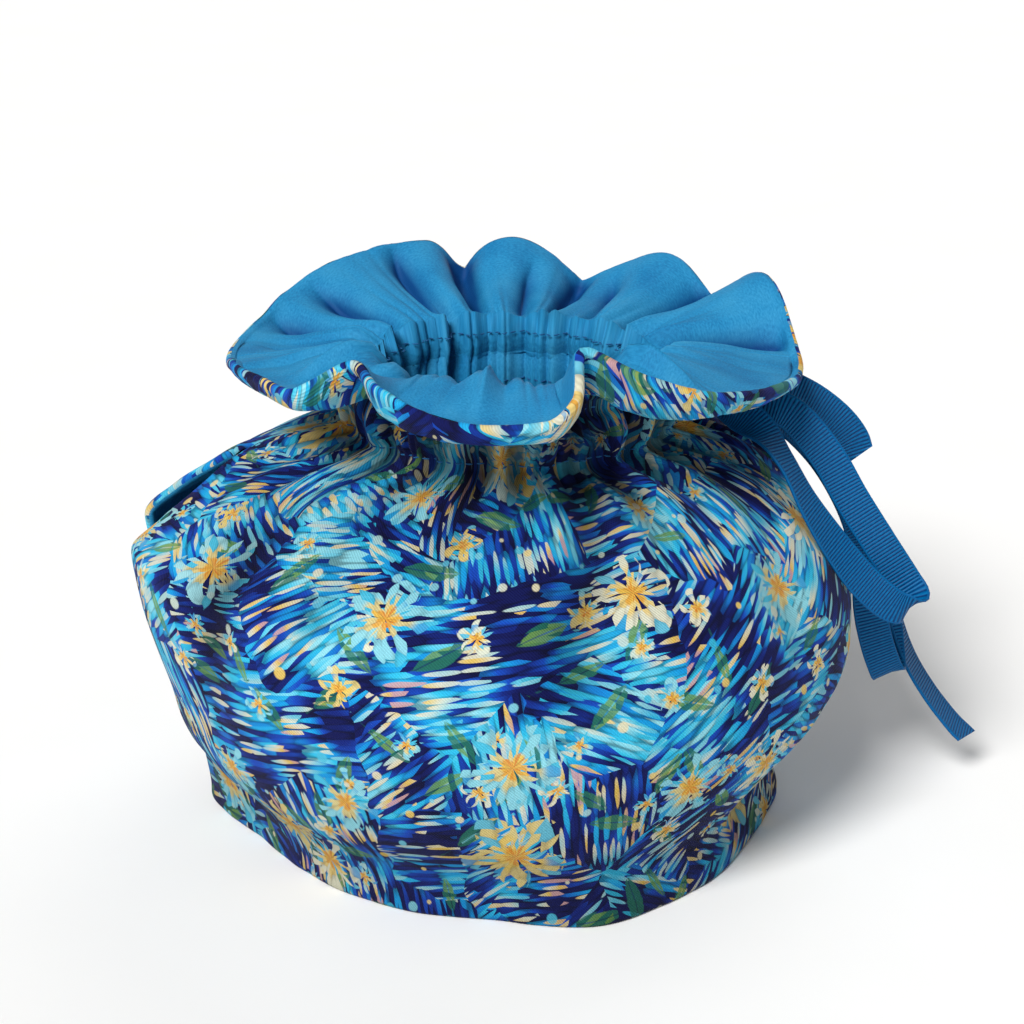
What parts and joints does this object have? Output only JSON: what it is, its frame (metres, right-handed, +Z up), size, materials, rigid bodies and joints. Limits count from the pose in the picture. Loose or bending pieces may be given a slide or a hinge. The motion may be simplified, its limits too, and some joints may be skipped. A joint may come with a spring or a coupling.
{
  "type": "tea cosy",
  "caption": "Gathered drawstring tea cosy of printed cotton with a plain blue lining, a wavy frill above a stitched channel, side slits and a ribbon bow.",
  "frame": {"origin": "bottom centre of the bounding box, on the plane that the hem stands on", "axes": "+X through the two side slits, towards the bow; -Y to the fuller front; +Z up, from hem to frill"},
  "size_m": [0.2508, 0.1918, 0.1548],
  "materials": {
    "printed_cotton": "cotton twill with a painterly blue floral print, matt",
    "lining_cotton": "plain sky blue cotton, matt",
    "ribbon_grosgrain": "ribbed blue grosgrain ribbon with a slight sheen"
  },
  "bodies": {
    "root": {"front_panel": "printed_cotton", "back_panel": "printed_cotton", "front_lining": "lining_cotton", "back_lining": "lining_cotton", "ribbon_tie": "ribbon_grosgrain"}
  },
  "joints": []
}
